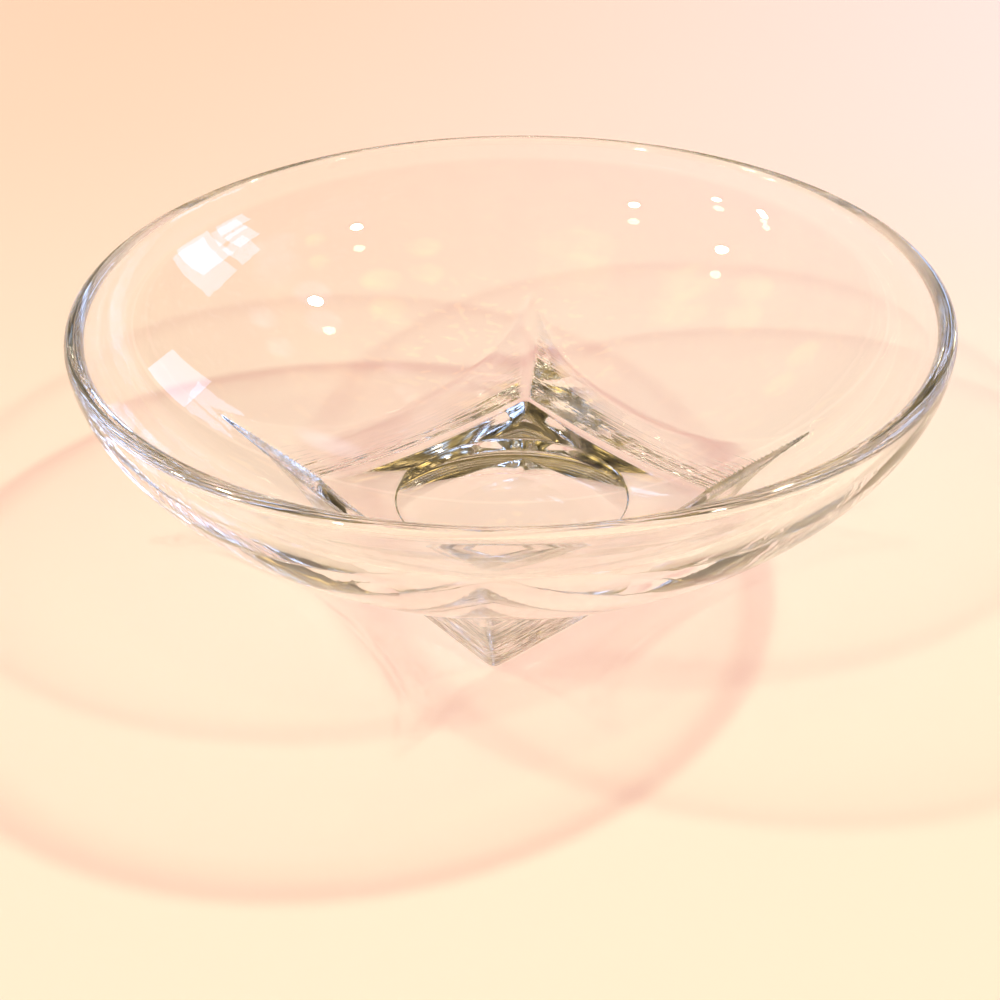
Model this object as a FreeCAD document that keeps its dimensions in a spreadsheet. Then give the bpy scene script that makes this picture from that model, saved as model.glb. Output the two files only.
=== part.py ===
# Clear pressed-glass floating candle bowl.
# A round bowl with a rounded rim stands on a square foot. The foot's four coved sides flare
# outwards as they rise, cut the round wall in arcs and meet in four corner fins that end in points.
# The real bowl is one moulding. Here its natural regions are separate solids that meet face to face:
# the rim bead, the round wall, the heavy round base, the square foot and the four corner fins.
# Millimetres, +Z up, origin on the table under the middle of the foot. The corners of the foot
# lie on the X and Y axes, with the front corner towards -Y.
import FreeCAD, Part
import math
import os
import sys
import Sketcher

doc = FreeCAD.newDocument("candle_bowl")

# Driving dimensions in millimetres. A name that ends in share is a share, not a length.
driving_sizes = [
    ("rim_radius", 95.0),           # widest radius of the rim
    ("rim_height", 63.7),           # height of that widest circle above the table
    ("bead_width", 4.1),            # thickness of the rounded rim
    ("bead_drop", 3.0),             # how far the rim bead reaches below the widest circle
    ("round_bottom_height", 7.4),   # lowest point of the round outer form, inside the foot
    ("floor_glass", 6.7),           # glass between that point and the inner floor
    ("outer_fall_share", 0.355),    # how far the outer curve falls before it turns inwards
    ("outer_belly_share", 0.618),   # how far out the outer curve's bottom runs level
    ("inner_fall_share", 0.350),    # the same two shares of the inner curve
    ("inner_belly_share", 0.593),
    ("fin_tip_share", 0.492),       # how far along the outer curve the fins' points lie
    ("fin_clearance", 1.9),         # from the lowest point of the side arcs up to where the fins start
    ("base_rise", 3.4),             # how far the heavy base reaches above the fins' points
    ("foot_half_side", 36.2),       # half of the square foot's side on the table
    ("cove_radius", 100.0),         # radius of each hollow side
    ("corner_round", 2.0),          # rounding of the foot's upright corners
    ("base_edge_round", 1.0),       # rounding of the edge at the table
    ("dish_lip", 2.0),              # flat lip that the bowl rests on
    ("dish_rise", 1.0),             # rise of the square dish under the foot
    ("disc_margin", 3.9),           # from the dish's edge in to the round recess, at mid side
    ("dish_top_share", 1.04),       # half side of the dish's level part, as a share of that recess's radius
    ("disc_step", 0.3),             # upright step at the edge of the round recess
    ("disc_dome", 4.0),             # rise of its domed roof
    ("overrun", 3.0),               # how far cutting solids pass what they cut
]
given = dict(driving_sizes)
outer_drop = given["rim_height"] - given["round_bottom_height"]


def wall_at(along):
    """Radius and height of the outer curve, a cubic, at a share of the way along it."""
    left = 1 - along
    radius = given["rim_radius"] * (
        left ** 3 + 3 * left ** 2 * along + 3 * left * along ** 2 * given["outer_belly_share"])
    drop = outer_drop * (
        3 * left ** 2 * along * given["outer_fall_share"] + 3 * left * along ** 2 + along ** 3)
    return radius, given["rim_height"] - drop


# The foot's rounded corners run out on the outer curve, at the fins' points. The half side there
# is that of the sharp corner. Each side is an arc from the table to that point, and it meets the
# round wall lowest in the middle of the side, which halving finds on the same curve.
tip_radius, tip_height = wall_at(given["fin_tip_share"])
tip_half = (tip_radius + given["corner_round"] * (math.sqrt(2) - 1)) / math.sqrt(2)
table_point = FreeCAD.Vector(given["foot_half_side"], 0, 0)
chord = FreeCAD.Vector(tip_half, tip_height, 0) - table_point
outward = FreeCAD.Vector(chord.y, -chord.x, 0).normalize()
chord_distance = math.sqrt(given["cove_radius"] ** 2 - (chord.Length / 2) ** 2)
cove_centre = table_point + chord / 2 + outward * chord_distance


def side_at(height):
    return cove_centre.x - math.sqrt(given["cove_radius"] ** 2 - (height - cove_centre.y) ** 2)


above, below = given["fin_tip_share"], 1
while below - above > sys.float_info.epsilon:
    middle = (above + below) / 2
    radius, height = wall_at(middle)
    above, below = (middle, below) if radius > side_at(height) else (above, middle)
arc_height = wall_at(above)[1]

worked_out = [("tip_height", tip_height), ("tip_half", tip_half), ("arc_height", arc_height)]
sheet = doc.addObject("Spreadsheet::Sheet", "sizes")
for row, (alias, size) in enumerate(driving_sizes + worked_out, start=1):
    sheet.set("A%d" % row, alias)
    sheet.set("B%d" % row, repr(size))
    sheet.setAlias("B%d" % row, alias)
doc.recompute()

# Heights and radii that several pieces share, written once in terms of the sheet's sizes
outer_depth = "(sizes.rim_height - sizes.round_bottom_height)"
floor_height = "(sizes.round_bottom_height + sizes.floor_glass)"
inner_depth = "(sizes.rim_height - sizes.round_bottom_height - sizes.floor_glass)"
inner_radius = "(sizes.rim_radius - sizes.bead_width)"
bead_radius = "(sizes.bead_width / 2)"
neck_height = "(sizes.rim_height - sizes.bead_drop)"
base_top_height = "(sizes.tip_height + sizes.base_rise)"
foot_form_height = "(sizes.tip_height + sizes.overrun)"
fin_joint_height = "(sizes.arc_height + sizes.fin_clearance)"
dish_half = "(sizes.foot_half_side - sizes.base_edge_round - sizes.dish_lip)"
disc_radius = "(%s - sizes.disc_margin)" % dish_half
disc_edge_height = "(sizes.dish_rise + sizes.disc_step)"
reach = "(sizes.rim_radius + sizes.overrun)"

# Positions of a point on a sketch element, and the sketch's own origin and axes
start_point, end_point, centre_point = range(1, 4)
sketch_origin = level_axis = -1
upright_axis = level_axis - 1


def bind(item, **expressions):
    """Ties the named properties of an object to expressions on the sheet."""
    for name, expression in expressions.items():
        item.setExpression(name, expression)
    return item


def origin_feature(body, role):
    return next(feature for feature in body.Origin.OriginFeatures if feature.Role == role)


def new_sketch(body, name, role="XZ_Plane"):
    sketch = body.newObject("Sketcher::SketchObject", name)
    sketch.AttachmentSupport = (origin_feature(body, role), [""])
    sketch.MapMode = "FlatFace"
    return sketch


def point_at(sketch, across, up):
    """A sketch point worked out from two expressions."""
    return FreeCAD.Vector(float(sketch.evalExpression(across)), float(sketch.evalExpression(up)), 0)


def pin(sketch, element, position, across, up):
    """Holds one point of an element at two expressions; the word axis keeps it on an axis."""
    for kind, expression, axis in (("DistanceX", across, upright_axis), ("DistanceY", up, level_axis)):
        if expression == "axis":
            sketch.addConstraint(Sketcher.Constraint("PointOnObject", element, position, axis))
            continue
        size = float(sketch.evalExpression(expression))
        index = sketch.addConstraint(
            Sketcher.Constraint(kind, sketch_origin, start_point, element, position, size))
        sketch.setExpression("Constraints[%d]" % index, expression)


def join(sketch, *ends):
    """Joins element ends in pairs: each pair is (element, position, element, position)."""
    for first, first_position, second, second_position in ends:
        sketch.addConstraint(
            Sketcher.Constraint("Coincident", first, first_position, second, second_position))


def add_line(sketch, start, end):
    return sketch.addGeometry(Part.LineSegment(start, end), False)


def revolve(body, sketch, name):
    """A full turn of the sketch about the upright axis."""
    turn = body.newObject("PartDesign::Revolution", name)
    turn.Profile = sketch
    turn.ReferenceAxis = (sketch, ["V_Axis"])
    return turn


def round_form(name, radius, depth, bottom, fall_share, belly_share):
    """A turned solid below the rim's widest circle, closed by a level top.

    Its side is one cubic curve: it leaves the top circle straight down, and reaches the
    axis level. The two shares set how long it keeps each of those directions.
    """
    body = doc.addObject("PartDesign::Body", name)
    sketch = new_sketch(body, name + "_sketch")
    top = "sizes.rim_height"
    controls = [
        (radius, top),
        (radius, "%s - %s * %s" % (top, depth, fall_share)),
        ("%s * %s" % (radius, belly_share), bottom),
        ("axis", bottom),
    ]
    points = [point_at(sketch, "0" if across == "axis" else across, up) for across, up in controls]
    curve_degree = len(controls) - 1
    curve = Part.BSplineCurve(points, None, None, False, curve_degree, None, False)
    side = sketch.addGeometry(curve, False)
    sketch.exposeInternalGeometry(side)
    for number, (across, up) in enumerate(controls, start=side + 1):
        pin(sketch, number, centre_point, across, up)
    hub = FreeCAD.Vector(0, points[0].y, 0)
    axis_line = add_line(sketch, points[-1], hub)
    top_line = add_line(sketch, hub, points[0])
    join(sketch, (side, end_point, axis_line, start_point), (axis_line, end_point, top_line, start_point),
         (top_line, end_point, side, start_point))
    sketch.addConstraint(Sketcher.Constraint("Vertical", axis_line))
    sketch.addConstraint(Sketcher.Constraint("Horizontal", top_line))
    revolve(body, sketch, name + "_turn")
    return body


def rim_top():
    """The half round that tops the wall, drawn as two quarters that meet at its crest."""
    body = doc.addObject("PartDesign::Body", "rim_top")
    sketch = new_sketch(body, "rim_top_sketch")
    centre_across = "sizes.rim_radius - %s" % bead_radius
    centre = point_at(sketch, centre_across, "sizes.rim_height")
    bead = float(sketch.evalExpression(bead_radius))
    circle = Part.Circle(centre, FreeCAD.Vector(0, 0, 1), bead)
    outer_arc = sketch.addGeometry(Part.ArcOfCircle(circle, 0, math.pi / 2), False)
    inner_arc = sketch.addGeometry(Part.ArcOfCircle(circle, math.pi / 2, math.pi), False)
    chord = add_line(sketch, FreeCAD.Vector(centre.x - bead, centre.y, 0),
                     FreeCAD.Vector(centre.x + bead, centre.y, 0))
    join(sketch, (outer_arc, end_point, inner_arc, start_point), (inner_arc, end_point, chord, start_point),
         (chord, end_point, outer_arc, start_point), (outer_arc, centre_point, inner_arc, centre_point))
    sketch.addConstraint(Sketcher.Constraint("Horizontal", chord))
    sketch.addConstraint(Sketcher.Constraint("Vertical", outer_arc, centre_point, outer_arc, end_point))
    pin(sketch, outer_arc, centre_point, centre_across, "sizes.rim_height")
    pin(sketch, outer_arc, start_point, "sizes.rim_radius", "sizes.rim_height")
    revolve(body, sketch, "rim_top_turn").Refine = False
    return body


def edges_where(shape, test):
    """Names of the edges whose lowest and highest end points pass the test."""
    names = []
    for number, edge in enumerate(shape.Edges, start=1):
        heights = [vertex.Z for vertex in edge.Vertexes]
        if test(min(heights), max(heights)):
            names.append("Edge%d" % number)
    return names


def round_edges(body, base, name, radius, test):
    doc.recompute()
    fillet = body.newObject("PartDesign::Fillet", name)
    fillet.Base = (base, edges_where(base.Shape, test))
    bind(fillet, Radius=radius)
    return fillet


def foot_form():
    """The square foot with four coved, flaring sides, dished and recessed underneath."""
    body = doc.addObject("PartDesign::Body", "foot_form")
    block = bind(body.newObject("PartDesign::AdditiveBox", "foot_block"), Length="2 * " + reach,
                 Width="2 * " + reach, Height=foot_form_height)
    block.setExpression("Placement.Base.x", "-" + reach)
    block.setExpression("Placement.Base.y", "-" + reach)

    # waste outside one side: an arc bounds it, and a pattern repeats the cut on all four sides.
    # The arc starts at the table, passes the height of the fins' points and runs on above them.
    sketch = new_sketch(body, "cove_sketch")
    far_side = reach + " + sizes.overrun"
    low_point = point_at(sketch, "sizes.foot_half_side", "0")
    tip_point = point_at(sketch, "sizes.tip_half", "sizes.tip_height")
    far_high = point_at(sketch, far_side, foot_form_height)
    far_low = point_at(sketch, far_side, "0")
    high_point = FreeCAD.Vector(side_at(far_high.y), far_high.y, 0)
    top_angle, low_angle = (
        math.atan2(point.y - cove_centre.y, point.x - cove_centre.x) for point in (high_point, low_point))
    cove = sketch.addGeometry(Part.ArcOfCircle(
        Part.Circle(cove_centre, FreeCAD.Vector(0, 0, 1), given["cove_radius"]), top_angle, low_angle), False)
    tip = sketch.addGeometry(Part.Point(tip_point), True)
    top = add_line(sketch, high_point, far_high)
    outside = add_line(sketch, far_high, far_low)
    bottom = add_line(sketch, far_low, low_point)
    join(sketch, (cove, start_point, top, start_point), (top, end_point, outside, start_point),
         (outside, end_point, bottom, start_point), (bottom, end_point, cove, end_point))
    for line, kind in ((top, "Horizontal"), (outside, "Vertical"), (bottom, "Horizontal")):
        sketch.addConstraint(Sketcher.Constraint(kind, line))
    pin(sketch, tip, start_point, "sizes.tip_half", "sizes.tip_height")
    sketch.addConstraint(Sketcher.Constraint("PointOnObject", tip, start_point, cove))
    pin(sketch, cove, end_point, "sizes.foot_half_side", "axis")
    pin(sketch, outside, start_point, far_side, foot_form_height)
    bend = sketch.addConstraint(Sketcher.Constraint("Radius", cove, given["cove_radius"]))
    sketch.setExpression("Constraints[%d]" % bend, "sizes.cove_radius")

    doc.recompute()
    cut = body.newObject("PartDesign::Pocket", "side_cut")
    cut.Profile = sketch
    cut.Type = "ThroughAll"
    cut.Midplane = True
    doc.recompute()
    sides = body.newObject("PartDesign::PolarPattern", "four_sides")
    sides.Originals = [cut]
    sides.Axis = (origin_feature(body, "Z_Axis"), [""])
    sides.Angle = 360
    sides.Occurrences = 4
    body.Tip = sides

    # upright corners first, then the edge on the table
    least_rise = sheet.corner_round / 2
    corners = round_edges(body, sides, "corner_rounding", "sizes.corner_round",
                          lambda low, high: high - low > least_rise)
    skirt = round_edges(body, corners, "base_edge_rounding", "sizes.base_edge_round",
                        lambda low, high: high < least_rise)

    # shallow square dish: a wedge whose sides slope up from the resting lip
    dish = body.newObject("PartDesign::SubtractiveWedge", "dish")
    dish.Placement = FreeCAD.Placement(FreeCAD.Vector(), FreeCAD.Rotation(FreeCAD.Vector(1, 0, 0), 90))
    dish_top_half = "(%s * sizes.dish_top_share)" % disc_radius
    bind(dish, Xmin="-" + dish_half, Xmax=dish_half, Zmin="-" + dish_half, Zmax=dish_half,
         X2min="-" + dish_top_half, X2max=dish_top_half, Z2min="-" + dish_top_half,
         Z2max=dish_top_half, Ymin="0", Ymax="sizes.dish_rise")
    doc.recompute()

    # round recess with a domed roof
    recess_sketch = new_sketch(body, "recess_sketch")
    edge = point_at(recess_sketch, disc_radius, disc_edge_height)
    crown = point_at(recess_sketch, "0", disc_edge_height + " + sizes.disc_dome")
    dome_radius = (edge.x ** 2 + (crown.y - edge.y) ** 2) / (crown.y - edge.y) / 2
    dome_centre = FreeCAD.Vector(0, crown.y - dome_radius, 0)
    dome_start = math.atan2(edge.y - dome_centre.y, edge.x)
    dome = recess_sketch.addGeometry(Part.ArcOfCircle(
        Part.Circle(dome_centre, FreeCAD.Vector(0, 0, 1), dome_radius), dome_start, math.pi / 2), False)
    foot_of_edge = FreeCAD.Vector(edge.x, 0, 0)
    axis_line = add_line(recess_sketch, crown, FreeCAD.Vector())
    floor_line = add_line(recess_sketch, FreeCAD.Vector(), foot_of_edge)
    step_line = add_line(recess_sketch, foot_of_edge, edge)
    join(recess_sketch, (dome, end_point, axis_line, start_point),
         (axis_line, end_point, floor_line, start_point),
         (floor_line, end_point, step_line, start_point), (step_line, end_point, dome, start_point))
    recess_sketch.addConstraint(Sketcher.Constraint("Vertical", step_line))
    pin(recess_sketch, axis_line, end_point, "axis", "axis")
    pin(recess_sketch, floor_line, end_point, disc_radius, "axis")
    recess_sketch.addConstraint(Sketcher.Constraint("PointOnObject", dome, centre_point, upright_axis))
    rise = recess_sketch.addConstraint(Sketcher.Constraint(
        "DistanceY", sketch_origin, start_point, dome, start_point, edge.y))
    recess_sketch.setExpression("Constraints[%d]" % rise, disc_edge_height)
    pin(recess_sketch, dome, end_point, "axis", disc_edge_height + " + sizes.disc_dome")
    recess = body.newObject("PartDesign::Groove", "recess")
    recess.Profile = recess_sketch
    recess.ReferenceAxis = (recess_sketch, ["V_Axis"])
    doc.recompute()
    if not recess.Shape.Volume < dish.Shape.Volume < skirt.Shape.Volume:
        raise RuntimeError("The underside of the foot was not cut")

    # the corners of the foot lie on the X and Y axes
    body.Placement = FreeCAD.Placement(FreeCAD.Vector(), FreeCAD.Rotation(FreeCAD.Vector(0, 0, 1), 45))
    return body


def level_slice(name, low, high):
    """A wide cylinder between two levels, which slices the turned forms."""
    tool = bind(doc.addObject("Part::Cylinder", name), Radius=reach, Height="%s - %s" % (high, low))
    tool.setExpression("Placement.Base.z", low)
    return tool


def quarter_block(name, turn):
    """A block that covers one quarter of the plan above the fin joint."""
    tool = bind(doc.addObject("Part::Box", name), Length=reach, Width=reach, Height=reach)
    tool.Placement = FreeCAD.Placement(FreeCAD.Vector(), FreeCAD.Rotation(FreeCAD.Vector(0, 0, 1), turn))
    tool.setExpression("Placement.Base.z", fin_joint_height)
    return tool


def combine(kind, name, base, tool):
    result = doc.addObject("Part::" + kind, name)
    result.Base = base
    result.Tool = tool
    return result


outer = round_form("outer_form", "sizes.rim_radius", outer_depth, "sizes.round_bottom_height",
                   "sizes.outer_fall_share", "sizes.outer_belly_share")
hollow = round_form("hollow_form", inner_radius, inner_depth, floor_height,
                    "sizes.inner_fall_share", "sizes.inner_belly_share")
shell = combine("Cut", "shell_form", outer, hollow)
foot = combine("Cut", "foot_outside", foot_form(), outer)

# Pieces of the moulding, from the rim down
rim_foot = combine("Common", "rim_below", shell, level_slice("rim_slice", neck_height, "sizes.rim_height"))
rim = combine("Fuse", "rim_bead", rim_top(), rim_foot)
wall = combine("Common", "bowl_wall", shell, level_slice("wall_slice", base_top_height, neck_height))
base = combine("Common", "bowl_base", shell, level_slice("base_slice", "0", base_top_height))
square_foot = combine("Common", "square_foot", foot, level_slice("foot_slice", "0", fin_joint_height))
pieces = [rim, wall, base, square_foot]
for side, turn in (("front", -135), ("right", -45), ("back", 45), ("left", 135)):
    block = quarter_block("quarter_" + side, turn)
    pieces.append(combine("Common", "corner_fin_" + side, foot, block))
for piece in pieces:
    piece.Label = piece.Name
doc.recompute()

# Nothing is written unless every object and every piece is sound
for item in doc.Objects:
    faults = [word for word in item.State if word in ("Invalid", "Error")]
    if faults:
        raise RuntimeError("%s is %s" % (item.Label, ", ".join(faults)))
for piece in pieces:
    if piece.Shape.isNull() or not piece.Shape.isValid() or len(piece.Shape.Solids) != 1:
        raise RuntimeError("%s is not one valid solid" % piece.Label)

os.makedirs("parts", exist_ok=True)
for piece in pieces:
    piece.Shape.exportStep("parts/%s.step" % piece.Label)
    box = piece.Shape.optimalBoundingBox(False, False)
    print("%s: volume %.1f mm3, %.2f to %.2f mm high, reaches %.2f mm from the axis" % (
        piece.Label, piece.Shape.Volume, box.ZMin, box.ZMax, max(box.XMax, box.YMax)))
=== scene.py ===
# Clear pressed-glass floating candle bowl on a pale table.
import math
import bmesh
import bpy
import numpy as np
from mathutils import Matrix, Vector


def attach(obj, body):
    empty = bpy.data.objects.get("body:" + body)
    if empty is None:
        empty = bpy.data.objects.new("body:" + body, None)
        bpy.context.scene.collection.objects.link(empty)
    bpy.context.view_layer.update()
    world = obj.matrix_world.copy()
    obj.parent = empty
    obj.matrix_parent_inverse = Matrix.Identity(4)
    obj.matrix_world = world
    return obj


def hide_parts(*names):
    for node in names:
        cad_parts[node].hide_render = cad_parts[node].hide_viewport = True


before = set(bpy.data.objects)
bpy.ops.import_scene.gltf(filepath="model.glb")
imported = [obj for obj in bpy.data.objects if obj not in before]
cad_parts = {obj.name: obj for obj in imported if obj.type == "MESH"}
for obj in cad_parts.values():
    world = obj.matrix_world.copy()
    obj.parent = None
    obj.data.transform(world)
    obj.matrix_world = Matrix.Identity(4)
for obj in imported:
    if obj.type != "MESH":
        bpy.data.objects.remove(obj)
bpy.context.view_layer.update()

scene = bpy.context.scene
millimetre = 0.001


# The bowl: one moulding, so one closed skin stands for all eight solids.
# Lengths in millimetres, the same as in the solids. Names that end in Share are shares.
bowl = {
    "rimRadius": 95.0, "rimHeight": 63.7, "beadWidth": 4.1,
    "roundBottom": 7.4, "floorGlass": 6.7,
    "outerFallShare": 0.355, "outerBellyShare": 0.618,
    "innerFallShare": 0.350, "innerBellyShare": 0.593,
    "footHalf": 36.2, "finTipShare": 0.492, "coveRadius": 100.0, "cornerRound": 2.0,
    "edgeRound": 1.0, "lip": 1.0, "discRadius": 29.3, "dishRise": 1.0, "discStep": 0.3,
    "stepWidth": 0.7, "dome": 4.0,
    "beadShare": 0.012,                   # of both curves, just under the rim, taken up by the bead
    "creaseBelow": 0.9, "creaseShare": 0.011,    # the crease's start under the wall, and its end along it
    "ridge": 0.003, "ridgeGap": 1.1,      # level ridges that the mould left on the foot's sides
    "wave": 0.03,                         # slow unevenness of the fire-polished wall
    "columns": 320, "crowding": 0.62,     # around the bowl, crowded towards the four corners
    # how strongly the mould's streaks and the polished skin's ripple show, from 0 to 1
    "streakTop": 9.0, "streakFade": 7.0,  # height where the streaks end, and how far below it they are full
    "sideStreak": 0.02,                   # higher up on the foot's sides
    "cornerStreak": 0.6, "cornerSpread": 0.15,   # along the four corners, and radians to each side
    "backCalm": 0.85, "backSpread": 1.1,  # how much smoother the two back sides are, and radians
    "calmRipple": 0.12,                   # everywhere but on the round outside and the rim
}


# A cubic that starts straight down at the widest circle and ends level at the axis:
# radius = full radius x (left^3 + 3 left^2 along + 3 left along^2 belly),
# drop = full drop x (3 left^2 along fall + 3 left along^2 + along^3), with left = 1 - along.
def curveAt(along, radius, drop, fall, belly):
    left = 1 - along
    across = radius * (left**3 + 3 * left**2 * along + 3 * left * along**2 * belly)
    down = drop * (3 * left**2 * along * fall + 3 * left * along**2 + along**3)
    return across, bowl["rimHeight"] - down


# The cubic of the round outside, from the rim down.
def outerWall(along):
    return curveAt(along, bowl["rimRadius"], bowl["rimHeight"] - bowl["roundBottom"],
                   bowl["outerFallShare"], bowl["outerBellyShare"])


# The cubic of the inside, from the rim down to the floor.
def innerWall(along):
    drop = bowl["rimHeight"] - bowl["roundBottom"] - bowl["floorGlass"]
    return curveAt(along, bowl["rimRadius"] - bowl["beadWidth"], drop,
                   bowl["innerFallShare"], bowl["innerBellyShare"])


# Plan of the foot: distance to a rounded square's outline over its half side, against the angle.
# With big and small the larger and smaller of |cos| and |sin| of the angle from a side's middle,
# distance = 1 / (big (1 + (small/big)^n)^(1/n)); the rounding at the corner sets n.
def squareFactor(angle):
    sharp = bowl["footHalf"] * math.sqrt(2)
    power = math.log(2) / math.log(sharp / (sharp - bowl["cornerRound"] * (math.sqrt(2) - 1)))
    across, along = np.abs(np.cos(angle - math.pi / 4)), np.abs(np.sin(angle - math.pi / 4))
    big, small = np.maximum(across, along), np.minimum(across, along)
    return 1 / (big * (1 + (small / big)**power)**(1 / power))


# Half side of the foot at a height: an arc from the table to the fins' points,
# half side = centre - sqrt(cove radius^2 - (height - centre height)^2).
def coveArc(tipHalf, tipHeight):
    low, high = np.array([bowl["footHalf"], 0.0]), np.array([tipHalf, tipHeight])
    chord = high - low
    length = np.hypot(*chord)
    outward = np.array([chord[1], -chord[0]]) / length
    centre = (low + high) / 2 + outward * math.sqrt(bowl["coveRadius"]**2 - length**2 / 4)
    return lambda height: centre[0] - np.sqrt(bowl["coveRadius"]**2 - (height - centre[1])**2)


# Even steps from first to last, as a column: one row of the skin for each.
def steps(count, first=0.0, last=1.0):
    return np.linspace(first, last, count)[:, None]


# Quadratic blend of three points: (1-s)^2 start + 2 s (1-s) corner + s^2 end.
def bend(share, start, corner, end):
    return (1 - share)**2 * start + 2 * share * (1 - share) * corner + share**2 * end


# The whole skin as rows of radius and height against the angle from a corner of the foot,
# from the middle of the underside outwards, up the outside, over the rim and down the inside.
def bowlRows():
    # columns crowd towards the four corners: angle = quarter + w, w = u - crowding sin(2 pi u) / 2 pi
    u = np.linspace(0, 1, bowl["columns"] // 4, endpoint=False)
    crowded = (u - bowl["crowding"] * np.sin(2 * math.pi * u) / (2 * math.pi)) * math.pi / 2
    angle = np.concatenate([quarter * math.pi / 2 + crowded for quarter in range(4)])
    factor = squareFactor(angle)
    tipRadius, tipHeight = outerWall(bowl["finTipShare"])
    sideAt = coveArc(tipRadius / factor.max(), tipHeight)

    # where each column's side meets the round wall, by 40 halvings along the outer curve,
    # from a little above the fins' points down to the axis
    above = np.full(angle.shape, bowl["finTipShare"] - 0.04)
    below = np.ones(angle.shape)
    for _ in range(40):
        middle = (above + below) / 2
        radius, height = outerWall(middle)
        outside = radius > sideAt(height) * factor
        above, below = np.where(outside, middle, above), np.where(outside, below, middle)
    meet = (above + below) / 2
    meetRadius, meetHeight = outerWall(meet)
    rows = []

    def add(radius, height):
        rows.append(np.stack(np.broadcast_arrays(radius + 0 * angle, height + 0 * angle), -1))
        return sum(len(part) for part in rows)

    # underside: domed round recess, its small step, the dish easing from circle to square, the lip
    edge = bowl["edgeRound"]
    skirt = sideAt(0.0) * factor
    lipIn = skirt - edge - bowl["lip"]
    discRadius, stepWidth = bowl["discRadius"], bowl["stepWidth"]

    def dishHeight(radius):
        return bowl["dishRise"] * (1 - np.clip((radius - discRadius) / (lipIn - discRadius), 0, 1))

    share = steps(15)[1:-1]
    add(discRadius * share, bowl["dishRise"] + bowl["discStep"] + bowl["dome"] * (1 - share**2))
    share = steps(7)
    radius = discRadius + stepWidth * share + 0 * angle
    add(radius, dishHeight(radius) + bowl["discStep"] * (1 - share**2 * (3 - 2 * share)))
    radius = discRadius + stepWidth + (lipIn - discRadius - stepWidth) * steps(11)[1:]
    add(radius, dishHeight(radius))
    add(lipIn + bowl["lip"] * steps(4)[1:], 0.0)
    share = steps(7)[1:]
    sideStart = add(bend(share, skirt - edge, skirt, sideAt(edge) * factor), share**2 * edge)

    # coved side with its fine ridges, which fade out at the table and at the round wall:
    # three waves of the height, whose phase drifts slowly around the bowl
    share = steps(84)[1:]
    top = meetHeight - bowl["creaseBelow"]
    height = edge + (top - edge) * share
    drift = 0.35 * np.sin(3 * angle + 1.0) + 0.2 * np.sin(7 * angle)
    phase = 2 * math.pi * height / bowl["ridgeGap"]
    ridges = (np.sin(phase + 5 * drift) + 0.7 * np.sin(1.73 * phase + 9 * drift)
              + 0.5 * np.sin(0.41 * phase - 4 * drift))
    fade = np.clip(4 * share, 0, 1) * np.clip(5 * (1 - share), 0, 1)
    add(sideAt(height) * factor + bowl["ridge"] * ridges * fade, height)

    # soft crease where the side meets the round wall
    past = meet - bowl["creaseShare"]
    pastRadius, pastHeight = outerWall(past)
    share = steps(7)[1:]
    wallStart = add(bend(share, sideAt(top) * factor, meetRadius, pastRadius),
                    bend(share, top, meetHeight, pastHeight))

    # round outer wall, half-round bead, inner wall, and the floor closing in on the axis
    wallEnd = add(*outerWall(past + (bowl["beadShare"] - past) * steps(46)[1:]))
    turn = steps(21, 0.0, math.pi)
    bead = bowl["beadWidth"] / 2
    beadEnd = add(bowl["rimRadius"] - bead + bead * np.cos(turn), bowl["rimHeight"] + bead * np.sin(turn))
    add(*innerWall(steps(72, bowl["beadShare"], 0.985)))
    add(*innerWall(steps(6, 0.988, 0.998)))

    profile = np.concatenate(rows)
    radius, height = profile[..., 0].copy(), profile[..., 1]
    # slow unevenness of the round outer wall, only inwards
    around = angle - math.pi / 2
    share = steps(wallEnd - wallStart)
    swell = np.sin(3 * around + 5 * share) + 0.6 * np.sin(5 * around - 7 * share + 2) - 1.6
    radius[wallStart:wallEnd] += bowl["wave"] / 2 * swell * np.sin(math.pi * share)**2

    # streaks on the foot's coved sides and in their crease: most of all low down and along the corners
    streak = np.zeros(height.shape)
    lowDown = np.clip((bowl["streakTop"] - height[sideStart:wallStart]) / bowl["streakFade"], 0, 1)
    fromCorner = np.abs((angle + math.pi / 4) % (math.pi / 2) - math.pi / 4)
    nearCorner = np.exp(-(fromCorner / bowl["cornerSpread"])**2)
    onSides = bowl["sideStreak"] + bowl["cornerStreak"] * nearCorner
    streak[sideStart:wallStart] = np.maximum(lowDown, onSides)
    streak *= 1 - bowl["backCalm"] * np.exp(-((angle - math.pi) / bowl["backSpread"])**4)
    ripple = np.full(height.shape, bowl["calmRipple"])
    ripple[wallStart:beadEnd] = 1.0
    return radius, height, around, {"mouldMark": streak, "skinWaver": ripple}


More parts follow.
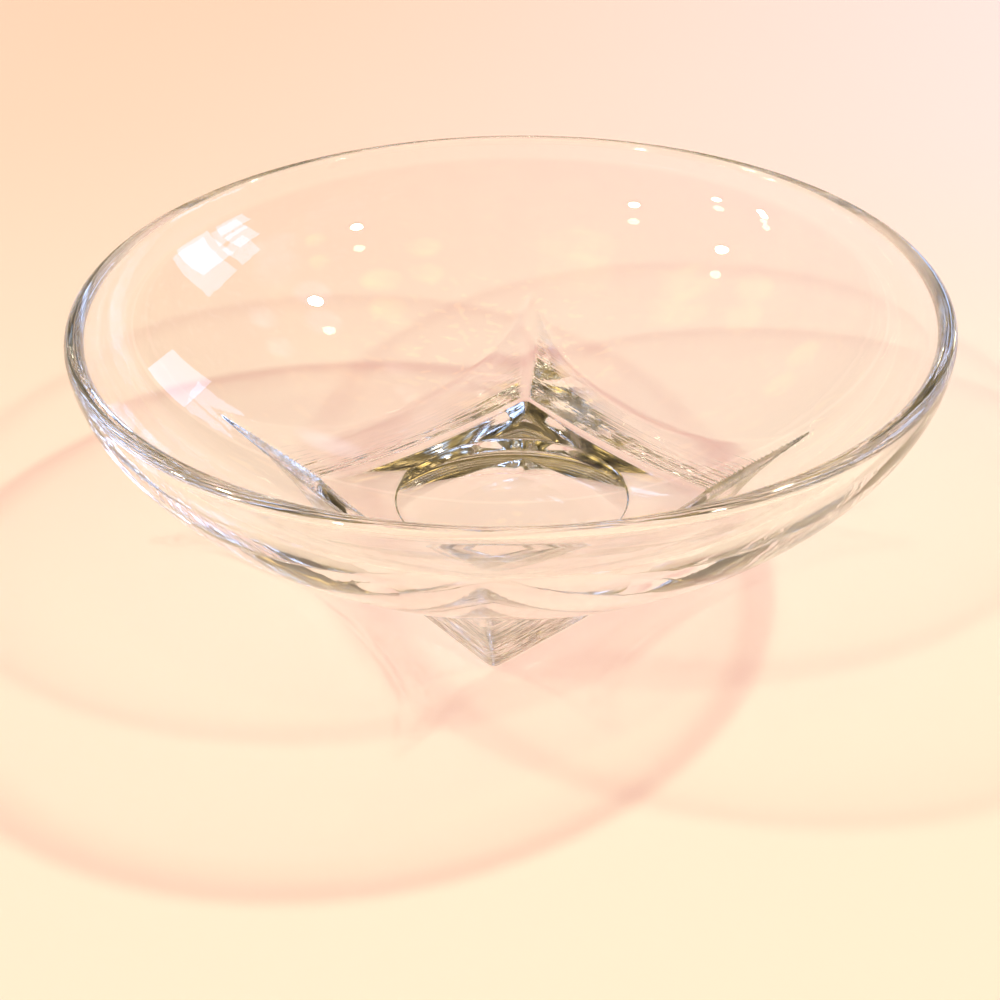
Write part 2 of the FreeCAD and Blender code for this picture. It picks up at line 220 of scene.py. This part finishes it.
# The rows as a closed mesh: a point is (radius cos around, radius sin around, height), with a pole
# at each end, and the marks go with the points as attributes.
def closedSkin(name, radius, height, around, marks, bottom, top):
    rowCount, columns = radius.shape
    points = np.stack([radius * np.cos(around), radius * np.sin(around), height], -1).reshape(-1, 3)
    points = np.concatenate([points, [[0, 0, bottom], [0, 0, top]]]) * millimetre
    here = np.arange(columns)
    after = (here + 1) % columns
    lower = np.arange(rowCount - 1)[:, None] * columns
    sides = np.stack(np.broadcast_arrays(lower + here, lower + after, lower + columns + after,
                                         lower + columns + here), -1).reshape(-1, 4)
    bottomPole, topPole, last = rowCount * columns, rowCount * columns + 1, (rowCount - 1) * columns
    bottomFan = np.stack([np.full(columns, bottomPole), after, here], -1)
    topFan = np.stack([last + here, last + after, np.full(columns, topPole)], -1)
    mesh = bpy.data.meshes.new(name)
    mesh.from_pydata(points, [], sides.tolist() + bottomFan.tolist() + topFan.tolist())
    for mark, values in marks.items():
        layer = mesh.attributes.new(mark, "FLOAT", "POINT")
        layer.data.foreach_set("value", np.concatenate([values.reshape(-1), [0, 0]]))
    work = bmesh.new()
    work.from_mesh(mesh)
    bmesh.ops.remove_doubles(work, verts=work.verts, dist=1e-6)
    bmesh.ops.recalc_face_normals(work, faces=work.faces)
    openEdges = sum(1 for side in work.edges if not side.is_manifold)
    print(name, "triangles", sum(len(face.verts) - 2 for face in work.faces), "open edges", openEdges,
          "volume cm3", round(work.calc_volume() * 1e6, 1))
    work.to_mesh(mesh)
    work.free()
    mesh.polygons.foreach_set("use_smooth", np.ones(len(mesh.polygons), dtype=bool))
    piece = bpy.data.objects.new(name, mesh)
    scene.collection.objects.link(piece)
    return piece


radius, height, around, marks = bowlRows()
roof = bowl["dishRise"] + bowl["discStep"] + bowl["dome"]
floorTop = bowl["roundBottom"] + bowl["floorGlass"]
glassBowl = closedSkin("glassBowl", radius, height, around, marks, roof, floorTop)


# A node with its settings. In sockets, an output of another node is linked and any other value is set.
def addNode(tree, kind, sockets=None, **settings):
    node = tree.nodes.new(kind)
    for name, value in settings.items():
        setattr(node, name, value)
    for name, value in (sockets or {}).items():
        if isinstance(value, bpy.types.NodeSocket):
            tree.links.new(value, node.inputs[name])
        else:
            node.inputs[name].default_value = value
    return node


# 0 up to low, 1 from high on, and a smooth step between them.
def ramp(tree, value, low, high, **sockets):
    names = {"Value": value, "From Min": low, "From Max": high, **sockets}
    return addNode(tree, "ShaderNodeMapRange", names, interpolation_type="SMOOTHSTEP").outputs["Result"]


# The first colour where share is 0, the second where it is 1. Each is a colour or a node's output.
def mixColours(tree, share, first, second):
    colours = [tone if isinstance(tone, bpy.types.NodeSocket) else (*tone, 1) for tone in (first, second)]
    sockets = {0: share, 6: colours[0], 7: colours[1]}
    return addNode(tree, "ShaderNodeMix", sockets, data_type="RGBA").outputs[2]


# One step of arithmetic on two numbers.
def maths(tree, operation, first, second):
    return addNode(tree, "ShaderNodeMath", {0: first, 1: second}, operation=operation).outputs["Value"]


# One step with vectors: first and second, or first times scale.
def vectors(tree, operation, **sockets):
    names = {"first": 0, "second": 1, "scale": "Scale"}
    node = addNode(tree, "ShaderNodeVectorMath", {names[name]: value for name, value in sockets.items()},
                   operation=operation)
    return node.outputs["Value" if operation in ("DOT_PRODUCT", "LENGTH") else "Vector"]


def newMaterial(name):
    material = bpy.data.materials.new(name)
    material.use_nodes = True
    return material, material.node_tree


# Clear glass: fire-polished, with faint level streaks from the mould on the foot's sides.
# Noise scales are per metre, depths in metres.
glass = {
    "index": 1.52, "tint": (0.995, 0.997, 0.995),
    "polish": 0.004,                       # roughness of the polished skin
    "mouldRoughness": 0.035,               # roughness in the streaks of the foot's sides
    "bloom": (0.45, 0.75),                 # from how strong a streak the roughness sets in, and is full
    "ripple": 0.016, "rippleScale": 170, "rippleDepth": 0.001,    # the polished skin's slow ripple
    "streak": 0.90, "streakScale": (60, 60, 950), "streakDepth": 0.0008,
    "detail": 1.5,                         # of both noises
    # colour of the lamplight that comes through: the walls, and the rim above a height in metres
    "wallShade": (0.97, 0.96, 0.97), "rimShade": (0.18, 0.14, 0.22), "rimFrom": 0.0598, "rimBlend": 0.002,
    "glancingShade": 0.6, "glancing": 0.35,      # glancing light gets this share of the rim's dimming
}


# Bump gives the ripple and the streaks, and a mix lets the lamps' light through as tinted shade.
def clearGlass():
    material, tree = newMaterial("clearGlass")
    shader = tree.nodes["Principled BSDF"]
    shader.inputs["Base Color"].default_value = (*glass["tint"], 1)
    shader.inputs["Transmission Weight"].default_value = 1.0
    shader.inputs["IOR"].default_value = glass["index"]
    place = addNode(tree, "ShaderNodeTexCoord").outputs["Object"]
    skinWaver = addNode(tree, "ShaderNodeAttribute", attribute_name="skinWaver").outputs["Fac"]
    mouldMark = addNode(tree, "ShaderNodeAttribute", attribute_name="mouldMark").outputs["Fac"]

    def noise(vector, scale):
        sockets = {"Vector": vector, "Scale": scale, "Detail": glass["detail"]}
        return addNode(tree, "ShaderNodeTexNoise", sockets).outputs["Fac"]

    # slow ripple of the polished skin
    ripple = addNode(tree, "ShaderNodeBump", {
        "Strength": maths(tree, "MULTIPLY", skinWaver, glass["ripple"]),
        "Distance": glass["rippleDepth"], "Height": noise(place, glass["rippleScale"])})

    # level streaks left by the mould, with a trace of bloom in them
    squeezed = addNode(tree, "ShaderNodeMapping", {"Vector": place, "Scale": glass["streakScale"]})
    streaks = noise(squeezed.outputs["Vector"], 1)
    fine = addNode(tree, "ShaderNodeBump", {
        "Strength": maths(tree, "MULTIPLY", mouldMark, glass["streak"]),
        "Distance": glass["streakDepth"], "Height": streaks, "Normal": ripple.outputs["Normal"]})
    tree.links.new(fine.outputs["Normal"], shader.inputs["Normal"])
    bloom = addNode(tree, "ShaderNodeMapRange", {
        "Value": maths(tree, "MULTIPLY", streaks, mouldMark),
        "From Min": glass["bloom"][0], "From Max": glass["bloom"][1],
        "To Min": glass["polish"], "To Max": glass["mouldRoughness"]})
    tree.links.new(bloom.outputs["Result"], shader.inputs["Roughness"])

    # lamps shine through the glass: clear in the walls, dim in the rim and at glancing angles
    level = addNode(tree, "ShaderNodeSeparateXYZ", {"Vector": place})
    rim = ramp(tree, level.outputs["Z"], glass["rimFrom"], glass["rimFrom"] + glass["rimBlend"])
    facing = addNode(tree, "ShaderNodeLayerWeight", {"Blend": glass["glancing"]}).outputs["Facing"]
    slanted = maths(tree, "MULTIPLY", facing, glass["glancingShade"])
    through = mixColours(tree, maths(tree, "MAXIMUM", rim, slanted), glass["wallShade"], glass["rimShade"])
    clear = addNode(tree, "ShaderNodeBsdfTransparent", {"Color": through})
    path = addNode(tree, "ShaderNodeLightPath")
    either = addNode(tree, "ShaderNodeMixShader", {
        0: path.outputs["Is Shadow Ray"], 1: shader.outputs["BSDF"], 2: clear.outputs["BSDF"]})
    tree.links.new(either.outputs["Shader"], tree.nodes["Material Output"].inputs["Surface"])
    return material


glassBowl.data.materials.append(clearGlass())
glassBowl.cycles.is_caustics_caster = True
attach(glassBowl, "root")
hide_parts(*[item["name"] if isinstance(item, dict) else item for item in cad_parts])
print("bowl made")


# A flat sheet of one face, for the table top and the windows.
def flatSheet(name, corners):
    mesh = bpy.data.meshes.new(name)
    mesh.from_pydata(corners, [], [(0, 1, 2, 3)])
    sheet = bpy.data.objects.new(name, mesh)
    scene.collection.objects.link(sheet)
    return sheet


# The table top: a glow that the camera and the glass see, and a lit share that takes the shadows.
# Lengths in metres. The glow changes from near to far and from left to right, and again far away.
table = {
    "size": 12.0, "drop": 0.0002,
    "lit": (0.29, 0.46, 0.44), "roughness": 0.6, "specular": 0.2,
    "nearGlow": (0.68, 0.260, 0.220), "nearToFar": (-0.12, 0.30),
    "leftGlow": (0.655, 0.160, 0.138), "rightGlow": (0.68, 0.250, 0.370), "leftToRight": (-0.25, 0.30),
    "outerGlow": (0.86, 0.68, 0.52), "fadeOut": (1.0, 5.0),
}


def tableTop():
    half = table["size"] / 2
    top = flatSheet("tableTop", [(-half, -half, 0), (half, -half, 0), (half, half, 0), (-half, half, 0)])
    top.location.z = -table["drop"]
    top.cycles.is_caustics_receiver = True
    material, tree = newMaterial("paleTable")
    shader = tree.nodes["Principled BSDF"]
    shader.inputs["Base Color"].default_value = (*table["lit"], 1)
    shader.inputs["Roughness"].default_value = table["roughness"]
    shader.inputs["Specular IOR Level"].default_value = table["specular"]
    place = addNode(tree, "ShaderNodeTexCoord").outputs["Object"]
    level = addNode(tree, "ShaderNodeSeparateXYZ", {"Vector": place})
    sideways = ramp(tree, level.outputs["X"], *table["leftToRight"])
    back = ramp(tree, level.outputs["Y"], *table["nearToFar"])
    far = mixColours(tree, sideways, table["leftGlow"], table["rightGlow"])
    colour = mixColours(tree, back, table["nearGlow"], far)

    # far from the lamps the glow makes up for their light
    away = ramp(tree, vectors(tree, "LENGTH", first=place), *table["fadeOut"])
    colour = mixColours(tree, away, colour, table["outerGlow"])
    path = addNode(tree, "ShaderNodeLightPath").outputs
    seen = maths(tree, "MAXIMUM", path["Is Camera Ray"], path["Is Glossy Ray"])
    seen = maths(tree, "MAXIMUM", seen, path["Is Transmission Ray"])
    glow = addNode(tree, "ShaderNodeEmission", {"Color": colour, "Strength": seen})
    both = addNode(tree, "ShaderNodeAddShader", {0: shader.outputs["BSDF"], 1: glow.outputs["Emission"]})
    tree.links.new(both.outputs["Shader"], tree.nodes["Material Output"].inputs["Surface"])
    top.data.materials.append(material)


# Unit vector towards an azimuth, counter-clockwise from +X, and an elevation, both in degrees:
# (cos azimuth cos elevation, sin azimuth cos elevation, sin elevation).
def direction(azimuth, elevation):
    azimuth, elevation = math.radians(azimuth), math.radians(elevation)
    return Vector((math.cos(azimuth) * math.cos(elevation), math.sin(azimuth) * math.cos(elevation),
                   math.sin(elevation)))


# The room: pale at the horizon, brown walls, and soft round areas of other light. Each area: azimuth
# and elevation, inner and outer angle from its middle, all in degrees, and its colour. +Y is behind
# the bowl and +X on its right. Later areas lie over earlier ones.
room = {
    "horizon": (0.90, 0.74, 0.58), "horizonTop": (0.03, 0.16),    # height of the pale band's soft edge
    "wall": (0.17, 0.13, 0.07),
    "mottle": 0.85, "mottleScale": 6, "mottleDetail": 3, "mottleRange": (0.35, 0.65),
    # tiny lights: strength low in the room and overhead, where overhead is, and what noise makes a light
    "sparkle": (0.4, 1.8), "overhead": (0.0, 0.25, 1.0), "overheadFrom": (0.94, 1.02),
    "sparkleScale": 30, "sparkleRange": (0.66, 0.74),
    "warmSparkle": (1.0, 0.68, 0.24), "coolSparkle": (0.62, 0.80, 1.0), "coolFrom": (0.45, 0.60),
    "areas": (
        (180, 56, 20, 40, (0.15, 0.108, 0.034)),      # brown on the left
        (-27, 33, 6, 11, (0.26, 0.28, 0.31)),         # daylight on the right
        (3, 38, 5, 9, (0.36, 0.52, 0.72)),
        (88, 48, 30, 44, (0.042, 0.032, 0.021)),      # dark behind the bowl
        (60, 76, 20, 34, (0.15, 0.106, 0.048)),       # brown ceiling
        (51, 50, 4, 9, (0.42, 0.31, 0.13)),           # warm patches behind the bowl
        (89, 42, 3, 8, (0.60, 0.40, 0.14)),
        (115, 35, 3, 8, (0.50, 0.34, 0.13)),
        (123, 67, 3, 8, (0.45, 0.31, 0.12)),
        (25, 49, 2, 6, (0.45, 0.32, 0.12)),
        (-14, 58, 14, 24, (0.060, 0.044, 0.016)),     # dark high on the right, with warm lights in it
        (2, 66, 2, 5, (1.9, 1.25, 0.40)),
        (-36, 66, 2, 5, (1.7, 1.12, 0.36)),
        (-9, 45, 1, 4, (1.8, 1.20, 0.38)),
        (36, 44, 1, 4, (0.75, 0.95, 1.25)),           # small spots of daylight behind, on the right
        (20, 54, 2, 5, (0.70, 0.90, 1.20)),
        (76, 34, 1, 4, (0.70, 0.90, 1.20)),
        (64, 61, 1, 3, (1.2, 1.20, 1.10)),
        (37, 69, 1, 3, (1.2, 0.84, 0.36)),            # small warm lights behind
        (91, 57, 1, 4, (1.8, 1.20, 0.38)),
        (109, 65, 1, 4, (1.6, 1.05, 0.33)),
        (135, 31, 1, 4, (0.95, 0.64, 0.20)),
        (-127, 68, 5, 10, (1.0, 0.68, 0.21)),         # warm light high over the camera's left
        (178, 57, 3, 8, (1.3, 0.88, 0.27)),           # and on the left
        (164, 44, 2, 6, (1.2, 0.82, 0.25)),
    ),
}


def roomWorld():
    world = bpy.data.worlds.new("room")
    scene.world = world
    world.use_nodes = True
    tree = world.node_tree
    place = addNode(tree, "ShaderNodeTexCoord").outputs["Object"]
    level = addNode(tree, "ShaderNodeSeparateXYZ", {"Vector": place})
    base = addNode(tree, "ShaderNodeRGB")
    base.outputs[0].default_value = (*room["wall"], 1)
    colour = base.outputs[0]
    for azimuth, elevation, inner, outer, tone in room["areas"]:
        towards = vectors(tree, "DOT_PRODUCT", first=place, second=direction(azimuth, elevation))
        within = ramp(tree, towards, math.cos(math.radians(outer)), math.cos(math.radians(inner)))
        colour = mixColours(tree, within, colour, tone)

    def noise(scale, detail):
        sockets = {"Vector": place, "Scale": scale, "Detail": detail}
        return addNode(tree, "ShaderNodeTexNoise", sockets).outputs["Fac"]

    # soft light and dark mottling
    low, high = room["mottleRange"]
    factor = addNode(tree, "ShaderNodeMapRange", {
        "Value": noise(room["mottleScale"], room["mottleDetail"]), "From Min": low, "From Max": high,
        "To Min": 1 - room["mottle"], "To Max": 1 + room["mottle"]})
    colour = vectors(tree, "SCALE", first=colour, scale=factor.outputs["Result"])

    # many tiny lights, brightest overhead, cool on the right and warm elsewhere
    upwards = vectors(tree, "DOT_PRODUCT", first=place, second=room["overhead"])
    weak, strong = room["sparkle"]
    strength = ramp(tree, upwards, *room["overheadFrom"], **{"To Min": weak, "To Max": strong})
    bright = ramp(tree, noise(room["sparkleScale"], 0), *room["sparkleRange"], **{"To Max": strength})
    rightward = ramp(tree, level.outputs["X"], *room["coolFrom"])
    hue = mixColours(tree, rightward, room["warmSparkle"], room["coolSparkle"])
    tiny = vectors(tree, "SCALE", first=hue, scale=bright)
    colour = vectors(tree, "ADD", first=colour, second=tiny)
    above = ramp(tree, level.outputs["Z"], *room["horizonTop"])
    colour = mixColours(tree, above, room["horizon"], colour)

    # the camera itself sees only the plain pale backdrop
    path = addNode(tree, "ShaderNodeLightPath").outputs
    colour = mixColours(tree, path["Is Camera Ray"], colour, room["horizon"])
    background = tree.nodes["Background"].inputs
    tree.links.new(colour, background["Color"])
    background["Strength"].default_value = 1.0


# Small warm ceiling lamps: azimuth and elevation in degrees, energy in watts. The casting ones throw
# the rings on the table, and the glinting ones only show in the glass. Lengths in metres.
lamps = {
    "distance": 2.4, "radius": 0.06, "colour": (1.0, 0.86, 0.62),
    "casting": ((27, 56, 144), (-23, 50, 76), (-132, 45, 76), (-175, 47, 88)),
    "glinting": ((-153, 24, 25), (-168, 20, 20), (-170, 22, 12)),
}
# Cool windows as flat panes: the azimuth and elevation of the four corners, and the brightness.
windows = {
    "distance": 2.6, "colour": (0.46, 0.62, 1.0),
    "panes": ((((69, 9), (57, 22), (63, 28), (73, 15)), 4.0),
              (((13, 8), (14, 30), (28, 27), (26, 6)), 5.5),
              (((0, 9), (-1, 18), (11, 18), (10, 9)), 5.5),
              (((2, 20), (2, 30), (11, 30), (11, 20)), 5.5)),
}


def addLamp(name, azimuth, elevation, energy, casting):
    light = bpy.data.lights.new(name, "POINT")
    light.energy = energy
    light.color = lamps["colour"]
    light.shadow_soft_size = lamps["radius"]
    light.cycles.is_caustics_light = casting
    lamp = bpy.data.objects.new(name, light)
    scene.collection.objects.link(lamp)
    lamp.location = direction(azimuth, elevation) * lamps["distance"]
    lamp.visible_diffuse = casting
    lamp.visible_camera = False


def addPane(name, corners, brightness):
    pane = flatSheet(name, [direction(*corner) * windows["distance"] for corner in corners])
    material, tree = newMaterial(name)
    shine = addNode(tree, "ShaderNodeEmission", {"Color": (*windows["colour"], 1), "Strength": brightness})
    tree.links.new(shine.outputs["Emission"], tree.nodes["Material Output"].inputs["Surface"])
    pane.data.materials.append(material)
    pane.visible_diffuse = False
    pane.visible_camera = False


tableTop()
roomWorld()
for group in ("casting", "glinting"):
    for count, (azimuth, elevation, energy) in enumerate(lamps[group]):
        addLamp(f"{group}Lamp{count + 1}", azimuth, elevation, energy, group == "casting")
for count, (corners, brightness) in enumerate(windows["panes"]):
    addPane(f"windowPane{count + 1}", corners, brightness)
print("table, room and lamps made")


# The camera, from a perspective fit to the rim's circle and the foot's corners. Angles in radians,
# the distance in metres as a number of rim radii, the sensor in millimetres.
view = {
    "focalPixels": 1500.0, "imagePixels": 1000.0, "sensor": 36.0, "nearest": 0.01,
    "distance": 3.4879 * 0.095, "elevation": 0.4505,
    "yaw": 0.0080, "pitch": -0.1361, "roll": 0.0139, "aroundBowl": 0.0868,
    "bounces": 40,                         # light passes many faces of clear glass
}


# From straight in front at the given elevation, the camera is turned by yaw, pitch and roll about
# its own axes, and then carried around the bowl's axis with its aim.
def photoCamera():
    aim = Vector((0, 0, bowl["rimHeight"] * millimetre))
    offset = Vector((0, -math.cos(view["elevation"]), math.sin(view["elevation"]))) * view["distance"]
    forward = -offset.normalized()
    right = Vector((1, 0, 0))
    up = right.cross(forward)

    def turned(vector, axis, angle):
        return Matrix.Rotation(angle, 3, axis) @ vector

    forward, right = turned(forward, up, view["yaw"]), turned(right, up, view["yaw"])
    forward, up = turned(forward, right, view["pitch"]), turned(up, right, view["pitch"])
    right, up = turned(right, forward, view["roll"]), turned(up, forward, view["roll"])
    spin = Matrix.Rotation(view["aroundBowl"], 3, "Z")
    place = spin @ offset + aim
    right, up, forward = spin @ right, spin @ up, spin @ forward
    data = bpy.data.cameras.new("photoCamera")
    data.sensor_width = view["sensor"]
    data.lens = view["sensor"] * view["focalPixels"] / view["imagePixels"]
    data.clip_start = view["nearest"]
    camera = bpy.data.objects.new("photoCamera", data)
    scene.collection.objects.link(camera)
    camera.matrix_world = Matrix(((right.x, up.x, -forward.x, place.x), (right.y, up.y, -forward.y, place.y),
                                  (right.z, up.z, -forward.z, place.z), (0, 0, 0, 1)))
    scene.camera = camera


photoCamera()
scene.view_settings.view_transform = "Standard"
scene.cycles.max_bounces = view["bounces"]
scene.cycles.transmission_bounces = view["bounces"]
scene.cycles.glossy_bounces = view["bounces"]
scene.cycles.use_denoising = True
print("camera set")
